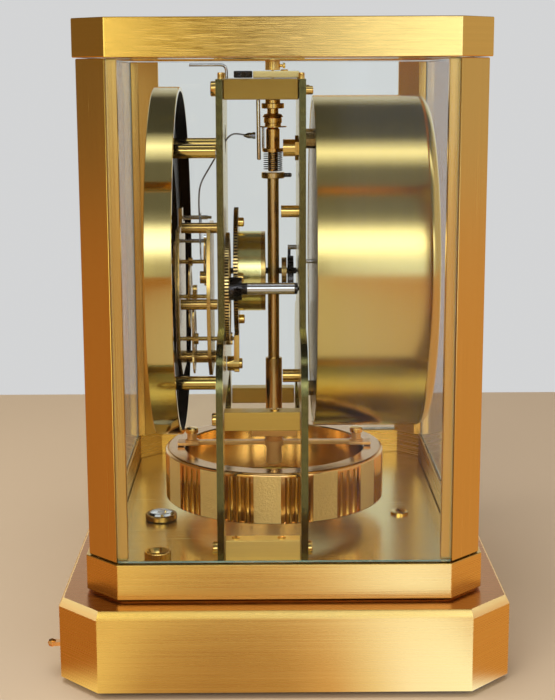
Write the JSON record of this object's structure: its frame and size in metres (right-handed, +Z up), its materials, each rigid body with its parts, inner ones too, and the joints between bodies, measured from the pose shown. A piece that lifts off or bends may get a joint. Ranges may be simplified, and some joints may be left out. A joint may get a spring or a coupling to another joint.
{
  "type": "atmospheric clock",
  "caption": "Glazed brass case clock with a rotating torsion balance, round dial, gear train and a drum whose bellows winds it from changes of air temperature",
  "frame": {"origin": "centre of the overall box on the surface the clock stands on", "axes": "+X to the clock's own left side as seen from behind (right as seen from the front), +Y from the dial towards the drum, +Z up"},
  "size_m": [0.206, 0.1586, 0.222],
  "materials": {
    "case_brass": "lacquered brass brushed along its length, warm gold",
    "plate_brass": "greenish yellow brass, fine straight grain",
    "polished_brass": "lacquered brass, polished or turned",
    "dark_brass": "toned brass, dull",
    "copper": "copper coloured, satin",
    "steel": "polished steel",
    "dark_steel": "blued or blackened steel",
    "glass": "clear plate glass with greenish edges",
    "dial_white": "matt ivory paint"
  },
  "bodies": {
    "case": {"plinth": "case_brass", "rear_foot": "dark_brass", "bottom_cover": "dark_steel", "lower_frame": "case_brass", "floor_plate": "plate_brass", "top_frame": "case_brass", "top_glass": "glass", "corner_post_front_left": "case_brass", "corner_post_front_right": "case_brass", "corner_post_rear_left": "case_brass", "corner_post_rear_right": "case_brass", "rear_glass": "glass", "left_glass": "glass", "right_glass": "glass", "spirit_level": "polished_brass", "front_plate": "plate_brass", "rear_plate": "plate_brass", "top_block": "case_brass", "right_stretcher": "case_brass", "left_stretcher": "case_brass", "right_foot_block": "plate_brass", "left_foot_block": "plate_brass", "suspension_bridge": "case_brass", "suspension_head": "polished_brass", "index_wire": "dark_steel", "guard_strip": "steel", "dial_ring": "polished_brass", "dial_plate": "dial_white", "module_rear_plate": "dark_brass", "module_front_plate": "dark_brass", "lower_cock": "polished_brass", "drum_shell": "polished_brass", "drum_front_cover": "dark_steel", "bellows": "dark_brass"},
    "front_pane": {"front_glass": "glass"},
    "balance": {"balance_ring": "polished_brass", "balance_arm": "copper", "balance_staff": "dark_brass", "roller_stack": "polished_brass", "damping_spring": "dark_steel"},
    "centre_arbor": {"centre_wheel": "polished_brass", "minute_hand": "dark_steel"},
    "hour_pipe": {"hour_wheel": "dark_brass", "hour_hand": "dark_steel"},
    "motion_arbor": {"minute_wheel": "dark_brass"},
    "third_arbor": {"third_wheel": "polished_brass"},
    "day_arbor": {"day_wheel": "polished_brass"},
    "second_arbor": {"second_wheel": "steel"},
    "mainspring_barrel": {"barrel": "polished_brass"},
    "escape_arbor": {"escape_wheel": "steel"},
    "fork": {"pallet_fork": "steel"},
    "winding": {"winding_arbor": "dark_steel"},
    "pulley": {"chain_pulley": "dark_brass"},
    "pawl": {"click": "steel"},
    "bellows_plate": {"bellows_end_plate": "steel"},
    "lever": {"lock_lever": "dark_brass"},
    "foot_left": {"levelling_foot_left": "dark_brass"},
    "foot_right": {"levelling_foot_right": "dark_brass"},
    "thumb_screw": {"floor_thumb_screw": "polished_brass"},
    "beat_adjuster": {"beat_disc": "dark_steel"}
  },
  "joints": [
    {"name": "balance_swing", "type": "hinge", "parent": "case", "child": "balance", "pos_m": [0, -0.0001, 0.12], "axis": [0, 0, 1], "range_deg": [-270, 270]},
    {"name": "hands_turn", "type": "hinge", "parent": "case", "child": "centre_arbor", "pos_m": [0, -0.03, 0.1332], "axis": [0, 1, 0], "continuous": true},
    {"name": "hour_turn", "type": "hinge", "parent": "case", "child": "hour_pipe", "pos_m": [0, -0.039, 0.1332], "axis": [0, 1, 0], "continuous": true},
    {"name": "motion_turn", "type": "hinge", "parent": "case", "child": "motion_arbor", "pos_m": [-0.0082, -0.037, 0.1282], "axis": [0, 1, 0], "continuous": true},
    {"name": "third_turn", "type": "hinge", "parent": "case", "child": "third_arbor", "pos_m": [0.005, -0.03, 0.1204], "axis": [0, 1, 0], "continuous": true},
    {"name": "day_turn", "type": "hinge", "parent": "case", "child": "day_arbor", "pos_m": [0.014, -0.03, 0.1056], "axis": [0, 1, 0], "continuous": true},
    {"name": "second_turn", "type": "hinge", "parent": "case", "child": "second_arbor", "pos_m": [0.024, -0.005, 0.1262], "axis": [0, 1, 0], "continuous": true},
    {"name": "barrel_turn", "type": "hinge", "parent": "case", "child": "mainspring_barrel", "pos_m": [-0.0044, -0.005, 0.129], "axis": [0, 1, 0], "continuous": true},
    {"name": "escape_turn", "type": "hinge", "parent": "case", "child": "escape_arbor", "pos_m": [-0.009, -0.03, 0.1402], "axis": [0, 1, 0], "continuous": true},
    {"name": "fork_rock", "type": "hinge", "parent": "case", "child": "fork", "pos_m": [-0.002, -0.03, 0.1501], "axis": [0, 1, 0], "range_deg": [-3, 3]},
    {"name": "winding_turn", "type": "hinge", "parent": "case", "child": "winding", "pos_m": [-0.0044, 0.005, 0.129], "axis": [0, 1, 0], "continuous": true},
    {"name": "bellows_swell", "type": "slide", "parent": "case", "child": "bellows_plate", "axis": [0, 1, 0], "range_m": [-0.004, 0], "stiffness_N_per_m": 400},
    {"name": "pulley_turn", "type": "hinge", "parent": "case", "child": "pulley", "pos_m": [-0.0044, 0.004, 0.129], "axis": [0, 1, 0], "range_deg": [0, 45]},
    {"name": "click_lift", "type": "hinge", "parent": "case", "child": "pawl", "pos_m": [0.001, 0.006, 0.1388], "axis": [0, 1, 0], "range_deg": [0, 10]},
    {"name": "lock_swing", "type": "hinge", "parent": "case", "child": "lever", "pos_m": [0.08, -0.0437, 0.011], "axis": [0, 0, 1], "range_deg": [-10, 10]},
    {"name": "left_foot_screw", "type": "slide", "parent": "case", "child": "foot_left", "axis": [0, 0, 1], "range_m": [-0.004, 0]},
    {"name": "right_foot_screw", "type": "slide", "parent": "case", "child": "foot_right", "axis": [0, 0, 1], "range_m": [-0.004, 0]},
    {"name": "thumb_screw_turn", "type": "hinge", "parent": "case", "child": "thumb_screw", "pos_m": [0.0665, -0.0416, 0.036], "axis": [0, 0, 1], "continuous": true},
    {"name": "beat_adjust", "type": "hinge", "parent": "case", "child": "beat_adjuster", "pos_m": [0, -0.01125, 0.204], "axis": [0, 0, 1], "range_deg": [-90, 90]},
    {"name": "front_glass_tilt", "type": "hinge", "parent": "case", "child": "front_pane", "pos_m": [0, -0.0635, 0.0438], "axis": [1, 0, 0], "range_deg": [0, 35]}
  ],
  "couplings": [
    {"joint": "hour_turn", "follows": "hands_turn", "ratio": 0.083333},
    {"joint": "motion_turn", "follows": "hands_turn", "ratio": -0.33333},
    {"joint": "escape_turn", "follows": "hands_turn", "ratio": -4},
    {"joint": "third_turn", "follows": "hands_turn", "ratio": -0.125},
    {"joint": "day_turn", "follows": "hands_turn", "ratio": 0.041667},
    {"joint": "second_turn", "follows": "hands_turn", "ratio": -0.0046296},
    {"joint": "barrel_turn", "follows": "hands_turn", "ratio": 0.0007716},
    {"joint": "pulley_turn", "follows": "bellows_swell", "rad_per_m": -192.3}
  ]
}
